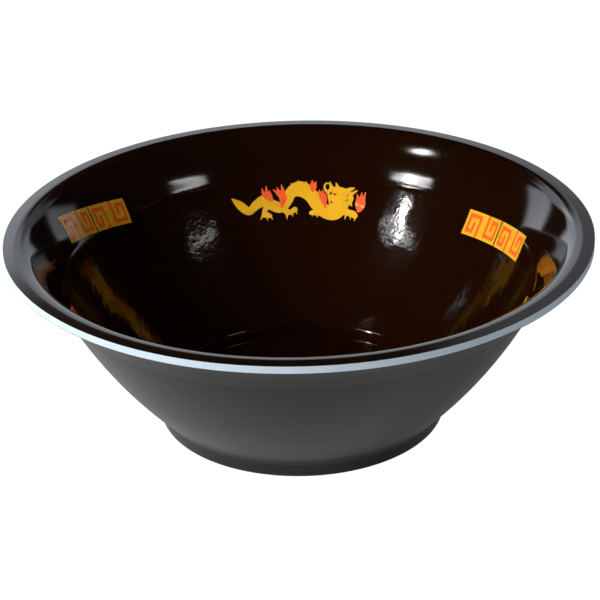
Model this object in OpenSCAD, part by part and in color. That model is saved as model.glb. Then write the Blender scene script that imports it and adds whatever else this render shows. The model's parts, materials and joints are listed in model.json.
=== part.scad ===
// Disposable ramen bowl: a foam sheet between two films, formed in one piece and printed inside.
// Z is up and +Y is the back. The origin is on the table, in the middle of the foot.

/* [Bowl] */
// Diameter across the cut edge of the lip
rim_d = 200; // [190:1:230]
// Height from the table to the crest of the lip
bowl_h = 69; // [66:0.5:85]

/* [Foot] */
// Diameter of the foot where it stands on the table
foot_d = 99.4; // [80:0.2:110]
// Height of the side of the foot
foot_h = 5.6; // [3:0.1:8]
// How far the side of the foot leans outwards over its height
foot_lean = 1; // [0:0.1:2]
// Width of the ring that the foot stands on
foot_ring_w = 7.4; // [5:0.1:15]
// How far the middle of the base is raised off the table
base_lift = 1.8; // [1:0.1:3]

/* [Wall] */
// Radius of the arc that the wall bulges out along
wall_arc_r = 170; // [100:1:300]

/* [Lip] */
// Height of the lip from the crease to the crest
lip_h = 17.2; // [16:0.1:24]
// Width of the lip from the crease to the cut edge
lip_reach = 16.8; // [15.5:0.1:20]
// Angle of the lip where it leaves the crease
spread_angle = 60; // [55:1:63]
// Radius of the arc that the lip flares out along
flare_round = 42; // [36:1:60]
// Radius that the top of the lip is rounded to
lip_round = 7.8; // [6:0.1:10]
// Width of the lip outside its crest
lip_w = 3.7; // [2:0.1:5]
// Angle that the lip falls at to its cut edge
lip_fall = 2; // [0:0.5:8]

/* [Sheet] */
// Thickness of the matt outer film
skin_t = 0.15; // [0.1:0.05:0.4]
// Thickness of the foam core
core_t = 2.4; // [1.5:0.1:3]
// Thickness of the gloss inner film
film_t = 0.15; // [0.1:0.05:0.4]
// Thickness of the printed ink
ink_t = 0.15; // [0.1:0.05:0.3]

/* [Fret print] */
// Width of one fret tile
tile_w = 17.6; // [12:0.1:20]
// Height of one fret tile
tile_h = 8.4; // [7:0.1:12]
// Gap between the two tiles of a pair
tile_gap = 0.7; // [0.3:0.1:2]
// Width of the red line of the fret
fret_line_w = 1.25; // [0.8:0.05:1.6]
// Gold border between the fret and the edge of its tile
fret_border = 1; // [0.5:0.1:1.6]
// How far below the crease the middle of a pair is meant to lie
fret_drop = 4.3; // [4:0.1:12]

/* [Dragon print] */
// Length of the dragon from the tip of its tail to the flame before its head
dragon_w = 51; // [40:0.5:60]
// How far below the crease the middle of a dragon lies
dragon_drop = 6.4; // [6:0.1:12]

/* [Hidden] */
$fn = 96;

rim_r = rim_d / 2;
foot_r = foot_d / 2;
crease_r = rim_r - lip_reach;
sheet_t = skin_t + core_t + film_t;
ring_in_r = foot_r - foot_ring_w;
lift_run = base_lift;                       // the base rises at 45 degrees inside the ring
crease_z = bowl_h - lip_h;
crest_r = rim_r - lip_w;

// Rounding of the outer face and of the inner face at each corner of the section
lift_round = [1, 1.5];
foot_round = [1.2, 0.9];
shoulder_round = [3, 4];
crease_round = [2.6, 0.6];

// Steps along each curve of the section
wall_steps = 16;
flare_steps = 10;
top_steps = 14;
corner_steps = 5;
corner_share = 0.45;                        // most of a side that one rounding may take

function unit(v) = v / norm(v);
function left_of(v) = [-v[1], v[0]];
function mix(a, b, k) = a + (b - a) * k;
function reversed(list) = [for (i = [len(list) - 1 : -1 : 0]) list[i]];

// Middle of the arc of a given radius through two points, on the left of the way from one to the other
function arc_middle(a, b, r) =
    let (half = norm(b - a) / 2)
    (a + b) / 2 + left_of(unit(b - a)) * sqrt(r * r - half * half);

function heading(a) = [cos(a), sin(a)];
function angle_of(v) = atan2(v[1], v[0]);

shoulder = [foot_r + foot_lean, foot_h];
crease = [crease_r, crease_z];
wall_middle = arc_middle(shoulder, crease, wall_arc_r);
function wall_point(k) = wall_middle + wall_arc_r
    * heading(mix(angle_of(shoulder - wall_middle), angle_of(crease - wall_middle), k));

// The lip leaves the crease straight, then flares out along one arc that runs into its rounded top
spread = heading(spread_angle);
top_middle = [crest_r, bowl_h - lip_round];
top_r = lip_round - sheet_t;
flare_r = flare_round - sheet_t;
way_back = crease - flare_r * left_of(spread) - top_middle;
least_spread = 0.5;
spread_l = max(least_spread, -way_back * spread
    - sqrt(max(0, (way_back * spread) ^ 2 - way_back * way_back + (flare_r - top_r) ^ 2)));
flare_middle = crease + spread_l * spread - flare_r * left_of(spread);
top_slope = angle_of(top_middle - flare_middle) - 90;
function flare_point(k) = flare_middle + flare_r * heading(mix(spread_angle, top_slope, k) + 90);
function top_point(k) = top_middle + top_r * heading(mix(top_slope, -lip_fall, k) + 90);

// Outer face from the middle of the base to the fall of the lip: [point, [outer, inner] rounding]
sharp = [0, 0];
face = concat(
    [[[0, base_lift], sharp],
     [[ring_in_r - lift_run, base_lift], lift_round],
     [[ring_in_r, 0], lift_round],
     [[foot_r, 0], foot_round],
     [shoulder, shoulder_round]],
    [for (i = [1 : wall_steps - 1]) [wall_point(i / wall_steps), sharp]],
    [[crease, crease_round]],
    [for (i = [0 : flare_steps]) [flare_point(i / flare_steps), sharp]],
    [for (i = [1 : top_steps]) [top_point(i / top_steps), sharp]],
    [[top_point(1) + heading(-lip_fall), sharp]]);

// The face moved into the sheet by t, still with sharp corners
function moved(t) =
    let (p = [for (f = face) f[0]],
         n = [for (i = [0 : len(p) - 2]) left_of(unit(p[i + 1] - p[i]))])
    [for (i = [0 : len(p) - 1])
        let (before = n[max(i - 1, 0)], after = n[min(i, len(n) - 1)])
        p[i] + t * (before + after) / (1 + before * after)];

// One corner b between a and c as an arc, limited by the shorter of its two sides
function corner(a, b, c, r) =
    let (u = unit(a - b), v = unit(c - b),
         turn = 180 - acos(u * v),
         reach = min(r * tan(turn / 2), corner_share * min(norm(a - b), norm(c - b))),
         radius = reach / tan(turn / 2),
         middle = b + unit(u + v) * radius / cos(turn / 2),
         from = b + u * reach - middle,
         to = b + v * reach - middle)
    [for (i = [0 : corner_steps])
        middle + radius * unit(mix(from, to, i / corner_steps))];

// Section line at depth t, up to the vertical cut at the edge of the lip
function section(t) =
    let (p = moved(t), last = len(p) - 1,
         end = p[last - 1],
         cut = [rim_r, end[1] - (rim_r - end[0]) * tan(lip_fall)])
    concat(
        [p[0]],
        [for (i = [1 : last - 1])
            let (r = mix(face[i][1][0], face[i][1][1], t / sheet_t))
            each (r > 0 ? corner(p[i - 1], p[i], p[i + 1], r) : [p[i]])],
        [cut]);

module layer(t0, t1) {
    rotate_extrude()
        polygon(concat(section(t0), reversed(section(t1))));
}

// Part of the inner face that takes ink, from the wall up to the flare
print_reach = 20;                           // how far the print reaches down from the crease
crest_margin = 1;                           // unprinted height below the crest
print_low = crease_z - print_reach;
print_high = bowl_h - crest_margin;
function print_line(t) = [for (p = section(t))
    if (p[0] > foot_r && p[0] < crest_r && p[1] > print_low && p[1] < print_high) p];

module ink_layer() {
    rotate_extrude()
        polygon(concat(print_line(sheet_t), reversed(print_line(sheet_t + ink_t))));
}

// Lays a flat drawing on the inner face: angle from the back, height above the crease, tilt
module printed(place) {
    intersection() {
        ink_layer();
        rotate([0, 0, -place[0]])
            translate([0, rim_r, crease_z + place[1]])
                rotate([90, 0, 0])
                    linear_extrude(rim_r - foot_r)
                        rotate(place[2])
                            children();
    }
}

// Places of the prints. The sheet slipped as it was formed, so two fret pairs lie higher and tilted
slip_right = 2.1;
slip_left = 9.4;                            // the pair on the left lies across the crease
dragon_places = [for (a = [0.5, 120, -120]) [a, -dragon_drop, 0]];
fret_places = [
    [64.9, slip_right - fret_drop, 4.7],
    [-62.9, slip_left - fret_drop, -9.4],
    [180, -fret_drop, 0]];

// Fret tiles
tile_pitch = tile_w + tile_gap;
fret_h = tile_h - 2 * fret_border;
fret_pitch = (fret_h - fret_line_w) / 2;    // from one line of the spiral to the next

module bar(x0, y0, x1, y1) {
    translate([min(x0, x1) - fret_line_w / 2, min(y0, y1) - fret_line_w / 2])
        square([abs(x1 - x0) + fret_line_w, abs(y1 - y0) + fret_line_w]);
}

// Square spiral on the left half of a tile, whose stem runs to the lower edge
module spiral() {
    left = -tile_w / 2 + fret_border + fret_line_w / 2;
    top = fret_h / 2 - fret_line_w / 2;
    stem = left + 2 * fret_pitch;
    middle = left + fret_pitch;
    bar(stem, -tile_h / 2 + fret_line_w / 2, stem, top);
    bar(left, top, stem, top);
    bar(left, -top, left, top);
    bar(left, -top, middle, -top);
    bar(middle, -top, middle, 0);
}

module fret_2d() {
    for (turn = [0, 180])
        rotate(turn)
            spiral();
}

module tile_place(side) {
    translate([side * tile_pitch / 2, 0])
        children();
}

module fret_line(place, side) {
    color([0.93, 0.42, 0.27])
        printed(place)
            tile_place(side)
                fret_2d();
}

module fret_ground(place, side) {
    color([0.93, 0.69, 0.16])
        printed(place)
            tile_place(side)
                difference() {
                    square([tile_w, tile_h], center = true);
                    fret_2d();
                }
}

// Brush strokes: [x, y, width] at each knot, smoothed between the knots
stroke_steps = 4;
drawn_units = 51;                           // units that the dragon is drawn across
function smooth(a, b, c, d, k) =
    0.5 * (2 * b + (c - a) * k + (2 * a - 5 * b + 4 * c - d) * k * k + (3 * b - a - 3 * c + d) * k * k * k);
function stroke_line(s) =
    let (last = len(s) - 1)
    concat(
        [for (i = [0 : last - 1], j = [0 : stroke_steps - 1])
            smooth(s[max(i - 1, 0)], s[i], s[i + 1], s[min(i + 2, last)], j / stroke_steps)],
        [s[last]]);
function flat(p) = [p[0], p[1]];
function side_of(line, i, sign) =
    let (a = flat(line[max(i - 1, 0)]), b = flat(line[min(i + 1, len(line) - 1)]))
    flat(line[i]) + sign * line[i][2] / 2 * left_of(unit(b - a));

module stroke(s) {
    line = stroke_line(s);
    rows = [0 : len(line) - 1];
    polygon(concat(
        [for (i = rows) side_of(line, i, 1)],
        reversed([for (i = rows) side_of(line, i, -1)])));
}

// Dragon: tail on the left, humped back, head on the right
body_stroke = [
    [-25.6, 2.6, 0.3], [-22.6, 0.1, 2.6], [-19.2, -2.3, 2.6], [-16.4, -0.5, 3.2], [-13.4, 0.6, 3.8],
    [-10.2, -1.1, 3.6], [-7, -2, 3.4], [-4.6, 0.2, 3.6], [-3, 3, 4.2], [0.4, 4, 5.2], [4, 2.2, 5],
    [7, -1.4, 5], [10, -3.5, 4.8], [13, -3.4, 5.4], [15, -1.2, 6.4], [15.2, 1.4, 7.4]];
leg_strokes = [
    [[-12, -0.6, 2.4], [-13.2, -2.6, 1.8], [-13.8, -4.4, 1.4]],
    [[-14.2, -4.3, 1], [-12.4, -4.1, 1.8], [-10.6, -4.8, 0.9]],
    [[-6, -2, 2.6], [-4.9, -3.5, 1.9], [-3.2, -3.6, 1.7], [-1.8, -2.7, 1.5], [-1, -3.2, 0.8]],
    [[8.8, -3.6, 2.6], [6.4, -4, 1.8], [4.6, -3.9, 1.4], [3.6, -4.3, 0.7]],
    [[16, -2.6, 3], [18.4, -3.5, 2.2], [20.4, -3.9, 2.2], [21.6, -4.6, 1]]];
claw_strokes = [
    [[-13.9, -4.1, 1], [-14.9, -5.5, 0.2]],
    [[-12.4, -4.4, 1], [-12.2, -6, 0.2]],
    [[-11.2, -4.5, 1], [-10.3, -5.7, 0.2]],
    [[-4.9, -3.6, 1.4], [-4.9, -5.9, 0.2]],
    [[-3, -3.6, 1.1], [-2.7, -5.1, 0.2]],
    [[-1.6, -2.8, 1], [-1.1, -4.4, 0.2]],
    [[6.6, -4.2, 1.1], [6.5, -5.6, 0.2]],
    [[5, -4, 1], [4.6, -5.2, 0.2]],
    [[17.6, -3.4, 1.1], [16.9, -5.7, 0.2]],
    [[19.2, -3.8, 1.1], [18.9, -5.6, 0.2]],
    [[20.8, -4.2, 1.1], [20.5, -6, 0.2]]];
head_strokes = [
    [[10.7, 1.1, 4.6], [13.2, 1.5, 6.6], [16.4, 1.5, 6.4], [18.6, 1, 4.6], [20, 0.4, 2.6]],
    [[11.6, 2.6, 1.3], [10, 3.5, 0.9], [9.5, 4.9, 0.7], [10.3, 6, 0.5], [11.3, 5.8, 0.4]],
    [[12.4, 3.6, 2.2], [11.6, 6.6, 0.3]],
    [[14.8, 3.8, 2.2], [13.9, 6.3, 0.3]],
    [[17.4, 3.2, 2], [19.4, 4.4, 1.2], [21, 4.9, 0.3]],
    [[18, 2.2, 1.6], [20.2, 3.1, 1], [21.9, 4.2, 0.3]],
    [[18.6, 0.2, 1.6], [19.8, -1.2, 0.3]]];
fin_places = [33 : 2 : 45];                 // steps of the body's line that carry a back fin
fin_rise = 0.12;                            // how far a fin stands out, as a share of the body's width
fin_sink = 0.2;                             // share of the body's half width that a fin is rooted in
fin_lean = 0.3;                             // where the tip stands between the ends of its root
eye_dots = [[11.8, 2.6, 0.8], [13.4, 2.3, 0.7], [11.9, -0.3, 0.7], [18.3, 2.2, 0.45], [18, 0.7, 0.45]];
flame_strokes = [
    [[-9.9, 0.2, 0.4], [-11.6, 1.8, 2.4], [-12.4, 3.4, 1.4], [-12.6, 5.6, 0.2]],
    [[-11.6, 1.4, 0.8], [-13.4, 2.6, 1.4], [-14.2, 4.9, 0.2]],
    [[-10.6, 0.8, 1.2], [-11, 2.2, 1.2], [-11.4, 4, 0.2]],
    [[-6.9, -2.2, 0.4], [-6.2, 0.8, 3], [-6.3, 3, 1.8], [-6.8, 5.7, 0.2]],
    [[-5.8, -0.8, 0.4], [-6.4, 1.2, 1.8], [-8, 2.6, 1.3], [-10, 4.2, 0.2]],
    [[-6.2, 1.6, 1.4], [-7.8, 3.4, 1.1], [-8.6, 4.9, 0.2]],
    [[5.2, 3, 0.6], [5, 4.6, 2], [4.9, 7, 0.2]],
    [[5.4, 3.2, 0.6], [5.8, 4.8, 1.4], [6.4, 6.5, 0.2]],
    [[9.8, -2.4, 0.6], [9.2, 0.2, 2], [8.2, 1.8, 1.8], [7.4, 3.7, 0.2]],
    [[9.4, -0.4, 1], [9, 1.8, 1.5], [8.7, 3.8, 0.2]],
    [[9.6, -0.8, 1], [9.9, 0.8, 1], [9.8, 2.6, 0.2]],
    [[22, -3, 0.8], [22.4, -0.6, 3], [22.2, 1.2, 1.8], [21.8, 2.9, 0.2]],
    [[22.6, -2, 1], [23.2, 0.6, 1.8], [23.6, 3.7, 0.2]],
    [[22.8, -1.6, 1], [23.8, 0.4, 1.4], [25, 3.9, 0.2]],
    [[22.6, -2.4, 1], [23.8, -0.8, 1.4], [24.8, 0.9, 0.2]]];

module strokes(list) {
    for (s = list)
        stroke(s);
}

// Row of small fins along the arch of the back
module fins() {
    line = stroke_line(body_stroke);
    for (i = fin_places)
        let (middle = flat(line[i]),
             start = side_of(line, i, 1),
             end = side_of(line, i + 1, 1),
             tip = mix(start, end, fin_lean) + fin_rise * line[i][2] * unit(start - middle))
        polygon([mix(start, middle, fin_sink), mix(end, middle, fin_sink), tip]);
}

module flames_2d() {
    strokes(flame_strokes);
}

module dragon_2d() {
    difference() {
        union() {
            stroke(body_stroke);
            fins();
            strokes(leg_strokes);
            strokes(claw_strokes);
            strokes(head_strokes);
        }
        flames_2d();
        for (e = eye_dots)
            translate([e[0], e[1]])
                circle(d = e[2]);
    }
}

module dragon(place) {
    color([0.86, 0.65, 0.13])
        printed(place)
            scale(dragon_w / drawn_units)
                dragon_2d();
}

module flames(place) {
    color([0.95, 0.38, 0.2])
        printed(place)
            scale(dragon_w / drawn_units)
                flames_2d();
}

module outer_skin() {
    color([0.2, 0.2, 0.19])
        layer(0, skin_t);
}

module foam_core() {
    color([0.85, 0.89, 0.92])
        layer(skin_t, skin_t + core_t);
}

module inner_film() {
    color([0.09, 0.04, 0.02])
        layer(skin_t + core_t, sheet_t);
}

outer_skin();
foam_core();
inner_film();
dragon(dragon_places[0]);  // dragon_back
dragon(dragon_places[1]);  // dragon_right
dragon(dragon_places[2]);  // dragon_left
flames(dragon_places[0]);  // flames_back
flames(dragon_places[1]);  // flames_right
flames(dragon_places[2]);  // flames_left
fret_ground(fret_places[0], -1);  // fret_ground_right_1
fret_ground(fret_places[0], 1);  // fret_ground_right_2
fret_ground(fret_places[1], -1);  // fret_ground_left_1
fret_ground(fret_places[1], 1);  // fret_ground_left_2
fret_ground(fret_places[2], -1);  // fret_ground_front_1
fret_ground(fret_places[2], 1);  // fret_ground_front_2
fret_line(fret_places[0], -1);  // fret_line_right_1
fret_line(fret_places[0], 1);  // fret_line_right_2
fret_line(fret_places[1], -1);  // fret_line_left_1
fret_line(fret_places[1], 1);  // fret_line_left_2
fret_line(fret_places[2], -1);  // fret_line_front_1
fret_line(fret_places[2], 1);  // fret_line_front_2
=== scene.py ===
import json
from math import atan2, ceil, cos, pi, radians, sin, sqrt, tan

import bpy
from mathutils import Matrix, Vector

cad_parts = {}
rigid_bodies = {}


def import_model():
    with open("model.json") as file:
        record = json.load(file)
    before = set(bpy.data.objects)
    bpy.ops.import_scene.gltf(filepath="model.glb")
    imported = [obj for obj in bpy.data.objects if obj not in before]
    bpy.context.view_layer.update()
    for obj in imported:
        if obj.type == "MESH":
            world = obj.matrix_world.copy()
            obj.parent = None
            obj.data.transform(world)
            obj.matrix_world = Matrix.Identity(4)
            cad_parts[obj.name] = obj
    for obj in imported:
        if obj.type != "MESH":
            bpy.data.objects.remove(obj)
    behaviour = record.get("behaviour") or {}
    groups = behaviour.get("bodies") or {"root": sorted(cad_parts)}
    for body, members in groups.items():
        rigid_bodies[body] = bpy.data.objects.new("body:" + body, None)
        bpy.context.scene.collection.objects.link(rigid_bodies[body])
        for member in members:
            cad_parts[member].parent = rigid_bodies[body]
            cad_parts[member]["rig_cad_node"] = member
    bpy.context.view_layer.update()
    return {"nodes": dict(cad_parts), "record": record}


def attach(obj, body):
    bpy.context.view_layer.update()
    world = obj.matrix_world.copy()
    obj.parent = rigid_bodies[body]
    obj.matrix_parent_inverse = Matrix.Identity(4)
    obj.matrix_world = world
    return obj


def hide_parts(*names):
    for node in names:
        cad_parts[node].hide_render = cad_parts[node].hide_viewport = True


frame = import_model()
nodes = frame["nodes"]
mm = 0.001
mergeGap = 0.001 * mm  # points nearer than this become one
scene = bpy.context.scene
scene.view_settings.view_transform = "Standard"
for spare in [o for o in scene.objects if o.type in {"CAMERA", "LIGHT"} or o.name == "Cube"]:
    bpy.data.objects.remove(spare)
print("frame loaded:", len(nodes), "nodes")


def deselectAll():
    if bpy.context.object and bpy.context.object.mode != "OBJECT":
        bpy.ops.object.mode_set(mode="OBJECT")
    bpy.ops.object.select_all(action="DESELECT")


def linear(hexCode):  # sRGB hex to linear RGBA
    parts = [int(hexCode[i:i + 2], 16) / 255 for i in (1, 3, 5)]
    return [c / 12.92 if c <= 0.04045 else ((c + 0.055) / 1.055) ** 2.4 for c in parts] + [1]


def addNode(tree, kind, inputs=None, **settings):
    node = tree.nodes.new(kind)
    for name, value in settings.items():
        setattr(node, name, value)
    for socket, value in (inputs or {}).items():
        if isinstance(value, bpy.types.NodeSocket):
            tree.links.new(value, node.inputs[socket])
        else:
            node.inputs[socket].default_value = value
    return node


def newMaterial(name):
    material = bpy.data.materials.new(name)
    material.use_nodes = True
    material.node_tree.nodes.clear()
    return material, material.node_tree


# materials

# High gloss polystyrene film over foam: near black brown, mirror like. On the wall the foam cells under it
# leave an orange peel, which breaks the lamps' reflections into ragged patches and takes off some gloss. On
# the lip the film is stretched smooth.
glossFilm = {"brown": "#190901", "deep": "#140601", "cloudMm": 30, "roughness": 0.07, "roughest": 0.105,
             "ior": 1.5, "wallGloss": 0.24, "lipGloss": 0.5,
             "peelMm": 1.5, "peel": 0.03, "waveMm": 14, "wave": 0.025, "lipShare": 0.08,
             "smoothFromMm": 50, "smoothToMm": 55}


def makeGlossFilm():
    film = glossFilm
    material, tree = newMaterial("gloss_polystyrene_film")
    place = addNode(tree, "ShaderNodeTexCoord").outputs["Object"]
    cloud = addNode(tree, "ShaderNodeTexNoise", {
        "Vector": place, "Scale": 1 / (film["cloudMm"] * mm), "Detail": 3}).outputs["Fac"]
    tint = addNode(tree, "ShaderNodeMix", {
        "Factor": cloud, "A": linear(film["brown"]), "B": linear(film["deep"])}, data_type="RGBA")
    rough = addNode(tree, "ShaderNodeMapRange", {
        "Value": cloud, "To Min": film["roughness"], "To Max": film["roughest"]})
    height = addNode(tree, "ShaderNodeSeparateXYZ", {"Vector": place}).outputs["Z"]
    wallToLip = {"Value": height, "From Min": film["smoothFromMm"] * mm, "From Max": film["smoothToMm"] * mm}
    gloss = addNode(tree, "ShaderNodeMapRange", {
        **wallToLip, "To Min": film["wallGloss"], "To Max": film["lipGloss"]})
    normal = {}
    for relief in ("wave", "peel"):
        size = film[relief + "Mm"] * mm
        depth = addNode(tree, "ShaderNodeMapRange", {
            **wallToLip, "To Min": film[relief], "To Max": film[relief] * film["lipShare"]})
        noise = addNode(tree, "ShaderNodeTexNoise", {"Vector": place, "Scale": 1 / size, "Detail": 2})
        bump = addNode(tree, "ShaderNodeBump", {
            "Height": noise.outputs["Fac"], "Strength": depth.outputs["Result"], "Distance": size, **normal})
        normal = {"Normal": bump.outputs["Normal"]}
    shader = addNode(tree, "ShaderNodeBsdfPrincipled", {
        "Base Color": tint.outputs["Result"], "Roughness": rough.outputs["Result"], "IOR": film["ior"],
        "Specular IOR Level": gloss.outputs["Result"], **normal})
    addNode(tree, "ShaderNodeOutputMaterial", {"Surface": shader.outputs["BSDF"]})
    return material


# Matt calendered polystyrene film: charcoal, satin, with a fine rolled grain and faint rub marks. The grain
# is drawn coarser than the real one, so that it shows.
satinFilm = {"charcoal": "#1a1917", "worn": "#22211e", "cloudMm": 18, "roughness": 0.34, "roughest": 0.44,
             "ior": 1.5, "gloss": 0.26, "grainMm": 0.7, "grain": 0.08}


def makeSatinFilm():
    film = satinFilm
    material, tree = newMaterial("satin_polystyrene_film")
    place = addNode(tree, "ShaderNodeTexCoord").outputs["Object"]
    cloud = addNode(tree, "ShaderNodeTexNoise", {
        "Vector": place, "Scale": 1 / (film["cloudMm"] * mm), "Detail": 5}).outputs["Fac"]
    tint = addNode(tree, "ShaderNodeMix", {
        "Factor": cloud, "A": linear(film["charcoal"]), "B": linear(film["worn"])}, data_type="RGBA")
    rough = addNode(tree, "ShaderNodeMapRange", {
        "Value": cloud, "To Min": film["roughness"], "To Max": film["roughest"]})
    grainSize = film["grainMm"] * mm
    grain = addNode(tree, "ShaderNodeTexNoise", {"Vector": place, "Scale": 1 / grainSize, "Detail": 3})
    bump = addNode(tree, "ShaderNodeBump", {
        "Height": grain.outputs["Fac"], "Strength": film["grain"], "Distance": grainSize})
    shader = addNode(tree, "ShaderNodeBsdfPrincipled", {
        "Base Color": tint.outputs["Result"], "Roughness": rough.outputs["Result"], "IOR": film["ior"],
        "Specular IOR Level": film["gloss"], "Normal": bump.outputs["Normal"]})
    addNode(tree, "ShaderNodeOutputMaterial", {"Surface": shader.outputs["BSDF"]})
    return material


# Foamed polystyrene sheet, die cut: cool white and dull, with the cut cells as fine pits. The cells are drawn
# coarser than real ones, so that they show.
whiteFoam = {"white": "#d9e8f4", "shade": "#c9dae8", "cellMm": 0.35, "pits": 0.25, "roughness": 0.75,
             "ior": 1.45}


def makeWhiteFoam():
    foam = whiteFoam
    material, tree = newMaterial("foamed_polystyrene")
    place = addNode(tree, "ShaderNodeTexCoord").outputs["Object"]
    cellSize = foam["cellMm"] * mm
    cells = addNode(tree, "ShaderNodeTexVoronoi", {
        "Vector": place, "Scale": 1 / cellSize}).outputs["Distance"]
    tint = addNode(tree, "ShaderNodeMix", {
        "Factor": cells, "A": linear(foam["white"]), "B": linear(foam["shade"])}, data_type="RGBA")
    bump = addNode(tree, "ShaderNodeBump", {"Height": cells, "Strength": foam["pits"], "Distance": cellSize})
    shader = addNode(tree, "ShaderNodeBsdfPrincipled", {
        "Base Color": tint.outputs["Result"], "Roughness": foam["roughness"], "IOR": foam["ior"],
        "Normal": bump.outputs["Normal"]})
    addNode(tree, "ShaderNodeOutputMaterial", {"Surface": shader.outputs["BSDF"]})
    return material


# Gravure ink on the gloss film: flat strong colour with a fine screen of dots and slight mottle, nearly as
# glossy as the film. The screen is drawn coarser than the real one, so that it shows.
goldInk = {"name": "gold_gravure_ink", "colour": "#eeb424", "dots": "#d69a12"}
redInk = {"name": "red_gravure_ink", "colour": "#fb6630", "dots": "#ee4c1e"}
inkCoat = {"screenMm": 0.45, "uneven": 0.35, "mottleMm": 4, "ripple": 0.015, "rippleMm": 3, "roughness": 0.16,
           "ior": 1.5}


def makeInk(ink):
    coat = inkCoat
    material, tree = newMaterial(ink["name"])
    place = addNode(tree, "ShaderNodeTexCoord").outputs["Object"]
    screen = addNode(tree, "ShaderNodeTexVoronoi", {
        "Vector": place, "Scale": 1 / (coat["screenMm"] * mm), "Randomness": coat["uneven"]})
    mottle = addNode(tree, "ShaderNodeTexNoise", {
        "Vector": place, "Scale": 1 / (coat["mottleMm"] * mm), "Detail": 3}).outputs["Fac"]
    amount = addNode(tree, "ShaderNodeMath", {0: screen.outputs["Distance"], 1: mottle}, operation="MULTIPLY")
    tint = addNode(tree, "ShaderNodeMix", {
        "Factor": amount.outputs["Value"], "A": linear(ink["colour"]), "B": linear(ink["dots"])},
        data_type="RGBA")
    bump = addNode(tree, "ShaderNodeBump", {
        "Height": mottle, "Strength": coat["ripple"], "Distance": coat["rippleMm"] * mm})
    shader = addNode(tree, "ShaderNodeBsdfPrincipled", {
        "Base Color": tint.outputs["Result"], "Roughness": coat["roughness"], "IOR": coat["ior"],
        "Normal": bump.outputs["Normal"]})
    addNode(tree, "ShaderNodeOutputMaterial", {"Surface": shader.outputs["BSDF"]})
    return material


finishes = {"gloss_inner_film": makeGlossFilm(), "matt_outer_film": makeSatinFilm(),
            "white_foam": makeWhiteFoam(), "gold_ink": makeInk(goldInk), "red_ink": makeInk(redInk)}
print("materials made:", ", ".join(m.name for m in finishes.values()))


# formed sheet: one section, in mm, that the two films and the foam share

sheet = {"rimR": 100, "height": 69, "footR": 49.7, "footH": 5.6, "footLean": 1, "ringW": 7.4, "baseLift": 1.8,
         "wallArcR": 170, "lipH": 17.2, "lipReach": 16.8, "spreadAngle": 60, "flareRound": 42,
         "lipRound": 7.8, "lipW": 3.7, "lipFall": 2, "crestW": 1.6, "crestH": 0.14,
         "skin": 0.15, "core": 2.4, "film": 0.15,
         "wallSteps": 44, "flareSteps": 20, "topSteps": 20, "cornerSteps": 6, "crestSteps": 8, "turns": 192,
         "longest": 1.6, "cornerShare": 0.45, "smoothAngle": 35}
# radius at the outer and at the inner face of each kind of corner
rounding = {"lift": (1, 1.5), "foot": (1.2, 0.9), "shoulder": (3, 4), "crease": (2.6, 0.6), "none": (0, 0)}
wallEnds = (0.05, 0.97)  # the wall's steps stay clear of the roundings at its ends
sheetT = sheet["skin"] + sheet["core"] + sheet["film"]


def leftOf(v):
    return Vector((-v.y, v.x))


def heading(angle):
    return Vector((cos(angle), sin(angle)))


def angleOf(v):
    return atan2(v.y, v.x)


def arcPoints(middle, radius, start, end, shares):
    return [(middle + radius * heading(start + (end - start) * k), "none") for k in shares]


def outerFace():  # points of the outer face from the base to the fall of the lip, each with its rounding
    s = sheet
    fall = radians(s["lipFall"])
    ringR = s["footR"] - s["ringW"]
    shoulder = Vector((s["footR"] + s["footLean"], s["footH"]))
    crease = Vector((s["rimR"] - s["lipReach"], s["height"] - s["lipH"]))
    way = crease - shoulder
    bulge = sqrt(s["wallArcR"] ** 2 - way.length_squared / 4)
    wall = (shoulder + crease) / 2 + leftOf(way.normalized()) * bulge
    # the flare leaves the crease along spread, and its arc runs into the smaller arc of the lip's top
    spread = heading(radians(s["spreadAngle"]))
    top = Vector((s["rimR"] - s["lipW"], s["height"] - s["lipRound"]))
    topR = s["lipRound"] - sheetT
    flareR = s["flareRound"] - sheetT
    back = crease - flareR * leftOf(spread) - top
    along = back.dot(spread)
    run = -along - sqrt(along ** 2 - back.length_squared + (flareR - topR) ** 2)
    flare = crease + run * spread - flareR * leftOf(spread)
    face = [(Vector((0, s["baseLift"])), "none"), (Vector((ringR - s["baseLift"], s["baseLift"])), "lift"),
            (Vector((ringR, 0)), "lift"), (Vector((s["footR"], 0)), "foot"), (shoulder, "shoulder")]
    first, last = wallEnds
    face += arcPoints(wall, s["wallArcR"], angleOf(shoulder - wall), angleOf(crease - wall),
                      [first + (last - first) * i / s["wallSteps"] for i in range(s["wallSteps"] + 1)])
    face.append((crease, "crease"))
    face += arcPoints(flare, flareR, angleOf(leftOf(spread)), angleOf(top - flare),
                      [i / s["flareSteps"] for i in range(s["flareSteps"] + 1)])
    face += arcPoints(top, topR, angleOf(top - flare), pi / 2 - fall,
                      [i / s["topSteps"] for i in range(1, s["topSteps"] + 1)])
    face.append((face[-1][0] + heading(-fall), "none"))
    return face


def roundCorner(a, b, c, r):
    u = (a - b).normalized()
    v = (c - b).normalized()
    half = (pi - u.angle(v)) / 2
    reach = min(r * tan(half), sheet["cornerShare"] * min((a - b).length, (c - b).length))
    radius = reach / tan(half)
    middle = b + (u + v).normalized() * radius / cos(half)
    start = b + u * reach - middle
    end = b + v * reach - middle
    steps = sheet["cornerSteps"]
    return [middle + radius * (start + (end - start) * i / steps).normalized() for i in range(steps + 1)]


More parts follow.
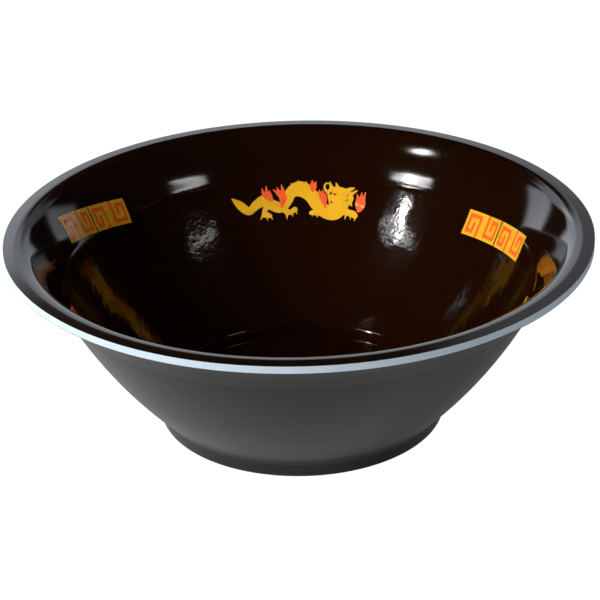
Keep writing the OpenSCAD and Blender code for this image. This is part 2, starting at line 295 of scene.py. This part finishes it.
def crestPoints(a, b, c):  # a fine raised line along the crease of the inner face
    u = (a - b).normalized()
    v = (c - b).normalized()
    out = leftOf((v - u).normalized())
    half = sheet["crestW"] / 2
    steps = sheet["crestSteps"]
    points = []
    for i in range(-steps, steps + 1):
        k = i / steps
        rise = sheet["crestH"] * (1 + cos(pi * k)) / 2
        points.append(b + (v if k > 0 else u) * abs(k) * half + out * rise)
    return points


def sectionLine(depth):  # the outer face moved into the sheet, with its corners rounded, up to the cut edge
    face = outerFace()
    points = [p for p, kind in face]
    normals = [leftOf((b - a).normalized()) for a, b in zip(points, points[1:])]
    moved = []
    for i, p in enumerate(points):
        before = normals[max(i - 1, 0)]
        after = normals[min(i, len(normals) - 1)]
        moved.append(p + depth * (before + after) / (1 + before.dot(after)))
    line = [moved[0]]
    for i in range(1, len(moved) - 1):
        kind = face[i][1]
        outer, inner = rounding[kind]
        r = outer + (inner - outer) * depth / sheetT
        corner = moved[i - 1:i + 2]
        if kind == "crease" and depth == sheetT:
            line += crestPoints(*corner)
        else:
            line += roundCorner(*corner, r) if r else [moved[i]]
    end = line[-1]
    drop = (sheet["rimR"] - end.x) * tan(radians(sheet["lipFall"]))
    return line + [Vector((sheet["rimR"], end.y - drop))]


def evenLine(line):  # long straight stretches are divided, so that shading stays flat on them
    even = [line[0]]
    for a, b in zip(line, line[1:]):
        parts = ceil((b - a).length / sheet["longest"])
        even += [a + (b - a) * i / parts for i in range(1, parts + 1)]
    return even


def spinPiece(name, line):
    deselectAll()
    bpy.ops.mesh.primitive_plane_add(size=mm)
    piece = bpy.context.object
    piece.name = piece.data.name = name
    bpy.ops.object.mode_set(mode="EDIT")
    bpy.ops.mesh.select_all(action="SELECT")
    bpy.ops.mesh.merge(type="CENTER")  # one point is left, and is drawn out along the section
    bpy.ops.transform.translate(value=(line[0].x * mm, 0, line[0].y * mm))
    for a, b in zip(line, line[1:]):
        bpy.ops.mesh.extrude_region_move(
            TRANSFORM_OT_translate={"value": ((b.x - a.x) * mm, 0, (b.y - a.y) * mm)})
    bpy.ops.mesh.select_all(action="SELECT")
    bpy.ops.mesh.spin(steps=sheet["turns"], angle=2 * pi, center=(0, 0, 0), axis=(0, 0, 1))
    bpy.ops.mesh.select_all(action="SELECT")
    bpy.ops.mesh.remove_doubles(threshold=mergeGap)
    bpy.ops.mesh.normals_make_consistent(inside=False)
    bpy.ops.object.mode_set(mode="OBJECT")
    bpy.ops.object.shade_smooth_by_angle(angle=radians(sheet["smoothAngle"]))
    return piece


def finishPiece(piece, slot, *replaced):
    piece.data.materials.clear()
    piece.data.materials.append(finishes[slot])
    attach(piece, "root")
    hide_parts(*replaced)


# node that each layer stands for, its slot, and the depths of its two faces in the sheet
layers = {"outer_film": ("outer_skin", "matt_outer_film", 0, sheet["skin"]),
          "foam_sheet": ("foam_core", "white_foam", sheet["skin"], sheet["skin"] + sheet["core"]),
          "inner_gloss_film": ("inner_film", "gloss_inner_film", sheet["skin"] + sheet["core"], sheetT)}
for pieceName, (node, slot, near, far) in layers.items():
    section = evenLine(sectionLine(near) + sectionLine(far)[::-1])
    finishPiece(spinPiece(pieceName, section), slot, node)
    print("spun", pieceName, "from", len(section), "points")


# prints: the solids' own outlines, merged and smoothed so that the gloss runs on over them

inkLay = {"smoothAngle": 30}


def layPrint(node, slot):
    deselectAll()
    nodes[node].select_set(True)
    bpy.context.view_layer.objects.active = nodes[node]
    bpy.ops.object.duplicate()
    piece = bpy.context.object
    piece.name = piece.data.name = node + "_ink"
    del piece["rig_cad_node"]
    bpy.ops.object.mode_set(mode="EDIT")
    bpy.ops.mesh.select_all(action="SELECT")
    bpy.ops.mesh.remove_doubles(threshold=mergeGap)
    bpy.ops.object.mode_set(mode="OBJECT")
    bpy.ops.object.shade_smooth_by_angle(angle=radians(inkLay["smoothAngle"]))
    finishPiece(piece, slot, node)


subparts = frame["record"]["subparts"]
printed = {row["node"]: row["material_slot"] for row in subparts if "ink" in row["material_slot"]}
for node, slot in printed.items():
    layPrint(node, slot)
print("prints laid:", len(printed))


# studio: white floor, pale screens low behind the bowl with dark gaps between them, and lamps on both sides
# az is in degrees from the back towards the right, el in degrees upwards, and sizes are in metres. A lamp
# that isn't mirrored lights the bowl but doesn't show in its gloss.

studio = {"floorSize": 8, "floorTone": "#f4f4f4", "floorGlow": 1.1, "seenShadow": 0.1, "mirrorShadow": 0.85,
          "cool": "#e6eef6", "white": "#ffffff", "dark": 0.01, "soft": 4, "away": 1.2, "aim": (0, 0, 0.045)}
screens = {"left": {"az": (-50, -37), "el": (-20, 29), "level": 2.4},
           "highLeft": {"az": (-37, -12), "el": (22, 36), "level": 1.5},
           "backLeft": {"az": (-22, -8), "el": (-20, 26), "level": 1.7},
           "back": {"az": (-8, 6), "el": (-20, 27), "level": 1.2},
           "backRight": {"az": (6, 21), "el": (-20, 21), "level": 0.95},
           "highRight": {"az": (6, 38), "el": (21, 33), "level": 0.45},
           "right": {"az": (38, 55), "el": (-20, 24), "level": 0.95}}
lamps = {"key": {"az": -118, "el": 29, "size": (0.09, 0.2), "power": 0.03, "spread": 9,
                 "aim": (0.03, 0.055, 0.022)},
         "keyWing": {"az": -116.5, "el": 33, "tilt": 11, "size": (0.42, 0.045), "power": 1.1},
         "wash": {"az": -118, "el": 30.5, "size": (0.5, 0.4), "power": 11.6, "mirrored": False},
         "highKey": {"az": -97, "el": 55, "size": (0.26, 0.1), "power": 0.0085, "spread": 10,
                     "aim": (0.037, 0.082, 0.064)},
         "fill": {"az": 119, "el": 34.3, "tilt": -9, "size": (0.36, 0.045), "power": 0.4},
         "softTop": {"az": 180, "el": 60, "size": (1.2, 1.2), "power": 3.5, "mirrored": False}}


def makeFloor():
    deselectAll()
    bpy.ops.mesh.primitive_plane_add(size=studio["floorSize"])
    floor = bpy.context.object
    floor.name = "studio_floor"
    material, tree = newMaterial("white_paper")
    rays = addNode(tree, "ShaderNodeLightPath").outputs
    seen = rays["Is Camera Ray"]
    for kind in ("Is Glossy Ray", "Is Transmission Ray"):
        seen = addNode(tree, "ShaderNodeMath", {0: seen, 1: rays[kind]}, operation="MAXIMUM").outputs["Value"]
    paper = addNode(tree, "ShaderNodeBsdfDiffuse", {"Color": linear(studio["floorTone"])})
    # what the eye sees of it is a glow and a share of lit paper, which carries the bowl's shadow
    shadow = addNode(tree, "ShaderNodeMapRange", {
        "Value": rays["Is Camera Ray"], "To Min": studio["mirrorShadow"],
        "To Max": studio["seenShadow"]}).outputs["Result"]
    rest = addNode(tree, "ShaderNodeMath", {0: studio["floorGlow"], 1: shadow}, operation="SUBTRACT")
    glow = addNode(tree, "ShaderNodeEmission", {"Strength": rest.outputs["Value"]})
    lit = addNode(tree, "ShaderNodeBsdfDiffuse", {"Color": shadow})
    white = addNode(tree, "ShaderNodeAddShader", {0: glow.outputs["Emission"], 1: lit.outputs["BSDF"]})
    mix = addNode(tree, "ShaderNodeMixShader", {
        0: seen, 1: paper.outputs["BSDF"], 2: white.outputs["Shader"]})
    addNode(tree, "ShaderNodeOutputMaterial", {"Surface": mix.outputs["Shader"]})
    floor.data.materials.append(material)


def makeScreens():  # the world: dark, with soft edged pale screens, and white to the camera
    world = bpy.data.worlds.new("studio_surroundings")
    scene.world = world
    world.use_nodes = True
    tree = world.node_tree
    tree.nodes.clear()
    way = addNode(tree, "ShaderNodeTexCoord").outputs["Generated"]
    axes = addNode(tree, "ShaderNodeSeparateXYZ", {"Vector": way}).outputs
    around = addNode(tree, "ShaderNodeMath", {
        0: axes["X"], 1: axes["Y"]}, operation="ARCTAN2").outputs["Value"]
    rise = addNode(tree, "ShaderNodeMath", {0: axes["Z"]}, operation="ARCSINE").outputs["Value"]
    level = studio["dark"]
    soft = radians(studio["soft"] / 2)
    for screen in screens.values():
        glow = screen["level"]
        for angle, edges in ((around, screen["az"]), (rise, screen["el"])):
            for edge, inside in zip(edges, ("To Max", "To Min")):
                step = addNode(tree, "ShaderNodeMapRange", {
                    "Value": angle, "From Min": radians(edge) - soft, "From Max": radians(edge) + soft,
                    "To Min": 0, "To Max": 0, inside: glow}, interpolation_type="SMOOTHSTEP")
                glow = step.outputs["Result"]
        level = addNode(tree, "ShaderNodeMath", {0: level, 1: glow}, operation="ADD").outputs["Value"]
    seen = addNode(tree, "ShaderNodeLightPath").outputs["Is Camera Ray"]
    strength = addNode(tree, "ShaderNodeMath", {0: level, 1: seen}, operation="MAXIMUM")
    tone = addNode(tree, "ShaderNodeMix", {
        "Factor": seen, "A": linear(studio["cool"]), "B": linear(studio["white"])}, data_type="RGBA")
    sky = addNode(tree, "ShaderNodeBackground", {
        "Color": tone.outputs["Result"], "Strength": strength.outputs["Value"]})
    addNode(tree, "ShaderNodeOutputWorld", {"Surface": sky.outputs["Background"]})


def hangLamp(name, lamp):
    az = radians(lamp["az"])
    el = radians(lamp["el"])
    toward = Vector((sin(az) * cos(el), cos(az) * cos(el), sin(el)))
    deselectAll()
    bpy.ops.object.light_add(type="AREA", location=Vector(studio["aim"]) + toward * studio["away"])
    light = bpy.context.object
    light.name = name
    back = light.location - Vector(lamp.get("aim", studio["aim"]))
    facing = back.to_track_quat("Z", "Y").to_matrix() @ Matrix.Rotation(radians(lamp.get("tilt", 0)), 3, "Z")
    light.rotation_euler = facing.to_euler()
    light.data.shape = "ELLIPSE"
    light.data.size, light.data.size_y = lamp["size"]
    light.data.energy = lamp["power"]
    light.data.spread = radians(lamp.get("spread", 180))
    light.visible_glossy = lamp.get("mirrored", True)


makeFloor()
makeScreens()
for lampName, lamp in lamps.items():
    hangLamp(lampName, lamp)
print("studio set up:", len(screens), "screens,", len(lamps), "lamps")


# camera: fitted to the lip, wall and foot of the bowl in the photograph

view = {"place": (0, -0.63878, 0.35672), "pitch": -26.272, "yaw": 0.003, "roll": -1.292, "lens": 123.45,
        "sensor": 36}
bpy.ops.object.camera_add(location=view["place"])
camera = bpy.context.object
camera.name = "photo_camera"
turn = (Matrix.Rotation(radians(view["yaw"]), 4, "Z") @ Matrix.Rotation(radians(90 + view["pitch"]), 4, "X")
        @ Matrix.Rotation(radians(view["roll"]), 4, "Z"))
camera.rotation_euler = turn.to_euler()
camera.data.lens = view["lens"]
camera.data.sensor_width = view["sensor"]
scene.camera = camera
print("camera placed")
